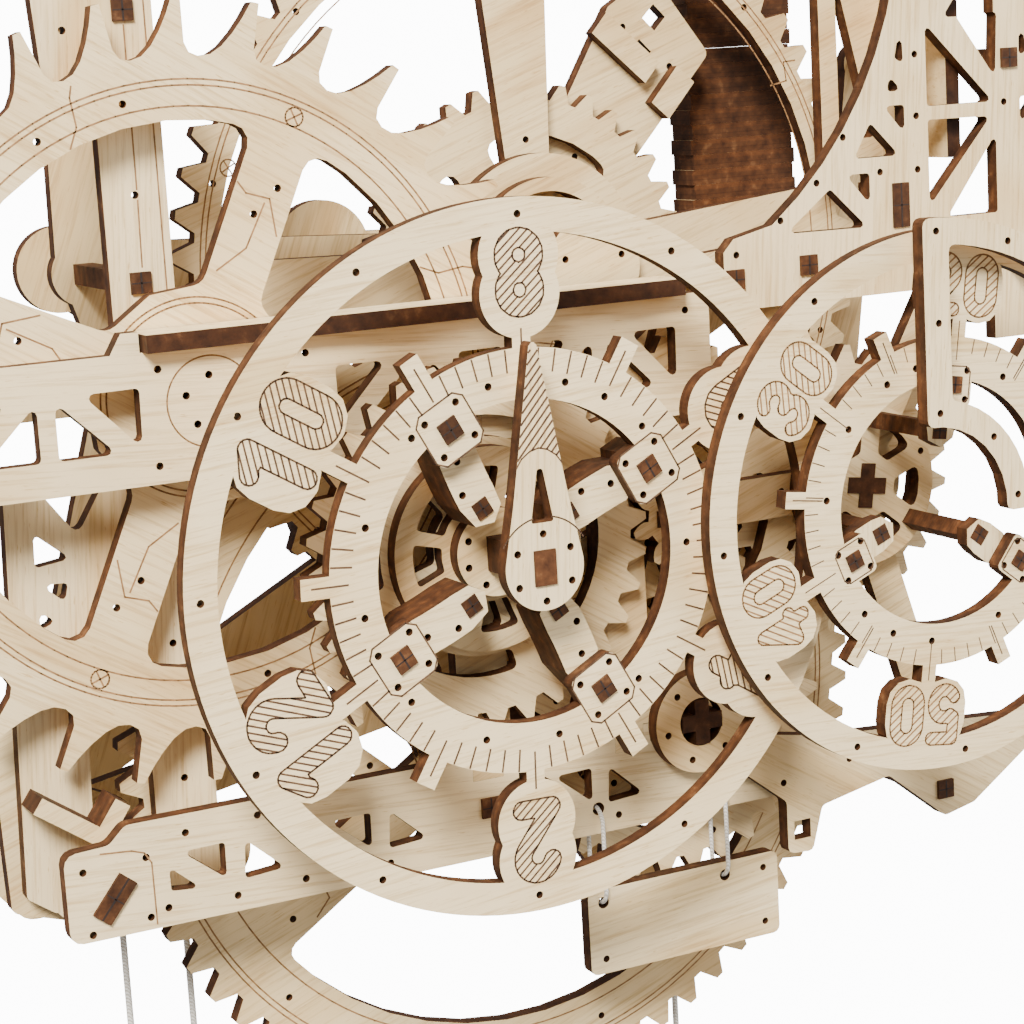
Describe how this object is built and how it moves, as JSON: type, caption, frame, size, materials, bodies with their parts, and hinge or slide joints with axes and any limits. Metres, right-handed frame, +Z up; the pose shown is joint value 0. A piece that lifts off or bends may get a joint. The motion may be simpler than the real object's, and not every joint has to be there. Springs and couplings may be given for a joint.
{
  "type": "wooden mechanical clock puzzle",
  "caption": "Weight-driven wall clock of slotted laser-cut plywood: turning hour and minute rings under fixed pointers, gear train, escape wheel, pendulum, cord drum and lattice tower",
  "frame": {"origin": "on the wall face of the wall plate, straight behind the hour arbor", "axes": "+Z up, the dials face -Y, +X to the right as seen from the front"},
  "size_m": [0.3124, 0.097, 0.3924],
  "materials": {
    "plywood": "raw birch plywood face",
    "plywood_edge": "laser-burnt plywood edge",
    "cord": "twisted cotton cord"
  },
  "bodies": {
    "frame": {"wall_plate": "plywood", "rear_frame": "plywood", "spacer_bars": "plywood_edge", "upper_beam": "plywood", "upper_shelf": "plywood_edge", "lower_beam": "plywood", "front_bridge": "plywood", "relay_plate": "plywood", "middle_frame": "plywood", "bearing_cap": "plywood", "left_post": "plywood", "left_side_plate": "plywood", "tower_front": "plywood", "tower_rib": "plywood_edge", "tower_rear": "plywood", "tower_column": "plywood_edge", "rear_bracket": "plywood", "minute_frame": "plywood", "minute_frame_posts": "plywood_edge", "hour_pointer": "plywood", "hour_post": "plywood", "pulley_pins": "plywood_edge", "guide_cords": "cord", "weight_strands": "cord", "pull_strand": "cord"},
    "sign": {"name_plate": "plywood", "name_plate_loops": "cord"},
    "hour_work": {"hour_dial": "plywood", "hour_bars": "plywood_edge", "hour_arms": "plywood", "hour_ring": "plywood", "hour_wheel": "plywood"},
    "minute_work": {"minute_dial": "plywood", "minute_bars": "plywood_edge", "minute_arms": "plywood", "minute_hub": "plywood", "minute_wheel": "plywood", "minute_arbor": "plywood"},
    "reduction_work": {"reduction_wheel": "plywood", "reduction_arbor": "plywood"},
    "relay_work": {"relay_wheel": "plywood", "relay_arbor": "plywood"},
    "great_work": {"great_wheel": "plywood", "great_arbor": "plywood", "click": "plywood"},
    "upper_work": {"upper_wheel": "plywood", "upper_hub": "plywood", "upper_arbor": "plywood"},
    "escape_work": {"escape_wheel": "plywood", "escape_arbor": "plywood"},
    "pendulum": {"anchor": "plywood", "anchor_arbor": "plywood", "pendulum_rod": "plywood", "pendulum_bob": "plywood"},
    "drum_work": {"drum": "plywood"},
    "weight_block": {"weight": "plywood"},
    "weight_wheel": {"weight_pulley": "plywood"},
    "knob": {"pull_knob": "plywood"},
    "left_pulley": {"left_guide_pulley": "plywood"},
    "right_pulley": {"right_guide_pulley": "plywood"}
  },
  "joints": [
    {"name": "upper_turn", "type": "hinge", "parent": "frame", "child": "upper_work", "pos_m": [0.0324, -0.03, 0.0452], "axis": [0, 1, 0], "continuous": true},
    {"name": "escape_turn", "type": "hinge", "parent": "frame", "child": "escape_work", "pos_m": [-0.0463, -0.0564, 0.0306], "axis": [0, 1, 0], "continuous": true},
    {"name": "great_turn", "type": "hinge", "parent": "frame", "child": "great_work", "pos_m": [0.0129, -0.0462, -0.0355], "axis": [0, 1, 0], "continuous": true},
    {"name": "minute_turn", "type": "hinge", "parent": "frame", "child": "minute_work", "pos_m": [0.0807, -0.0564, 0.0004], "axis": [0, 1, 0], "continuous": true},
    {"name": "relay_turn", "type": "hinge", "parent": "frame", "child": "relay_work", "pos_m": [0.0427, -0.0564, -0.039], "axis": [0, 1, 0], "continuous": true},
    {"name": "reduction_turn", "type": "hinge", "parent": "frame", "child": "reduction_work", "pos_m": [0.0395, -0.0597, 0], "axis": [0, 1, 0], "continuous": true},
    {"name": "hour_turn", "type": "hinge", "parent": "frame", "child": "hour_work", "pos_m": [0, -0.0662, 0], "axis": [0, 1, 0], "continuous": true},
    {"name": "pendulum_swing", "type": "hinge", "parent": "frame", "child": "pendulum", "pos_m": [-0.12551, -0.018, 0.0306], "axis": [0, 1, 0], "range_deg": [-3.5, 3.5]},
    {"name": "drum_turn", "type": "hinge", "parent": "frame", "child": "drum_work", "pos_m": [0.0129, -0.037, -0.0355], "axis": [0, 1, 0], "range_deg": [-365, 365]},
    {"name": "weight_travel", "type": "slide", "parent": "frame", "child": "weight_block", "axis": [0, 0, 1], "range_m": [-0.038, 0.038], "deforming": ["weight_strands"]},
    {"name": "weight_pulley_turn", "type": "hinge", "parent": "weight_block", "child": "weight_wheel", "pos_m": [-0.0562, -0.0381, -0.15], "axis": [0, 1, 0], "range_deg": [-380, 380]},
    {"name": "knob_travel", "type": "slide", "parent": "frame", "child": "knob", "axis": [0, 0, 1], "range_m": [-0.076, 0.076], "deforming": ["pull_strand"]},
    {"name": "left_pulley_turn", "type": "hinge", "parent": "frame", "child": "left_pulley", "pos_m": [-0.0445, -0.0381, -0.05335], "axis": [0, 1, 0], "range_deg": [-750, 750]},
    {"name": "right_pulley_turn", "type": "hinge", "parent": "frame", "child": "right_pulley", "pos_m": [0.04575, -0.0351, -0.05335], "axis": [0, 1, 0], "range_deg": [-750, 750]},
    {"name": "sign_swing", "type": "hinge", "parent": "frame", "child": "sign", "pos_m": [0.03, -0.0615, -0.0525], "axis": [1, 0, 0], "range_deg": [-6, 6]}
  ],
  "couplings": [
    {"joint": "escape_turn", "follows": "upper_turn", "ratio": -7.5},
    {"joint": "great_turn", "follows": "upper_turn", "ratio": -0.125},
    {"joint": "relay_turn", "follows": "upper_turn", "ratio": 0.05},
    {"joint": "minute_turn", "follows": "upper_turn", "ratio": -0.0625},
    {"joint": "reduction_turn", "follows": "upper_turn", "ratio": 0.020833},
    {"joint": "hour_turn", "follows": "upper_turn", "ratio": -0.0052083},
    {"joint": "drum_turn", "follows": "weight_travel", "rad_per_m": -166.67},
    {"joint": "knob_travel", "follows": "weight_travel", "ratio": -2},
    {"joint": "weight_pulley_turn", "follows": "weight_travel", "rad_per_m": -170.94},
    {"joint": "left_pulley_turn", "follows": "weight_travel", "rad_per_m": 341.88},
    {"joint": "right_pulley_turn", "follows": "weight_travel", "rad_per_m": 341.88}
  ]
}
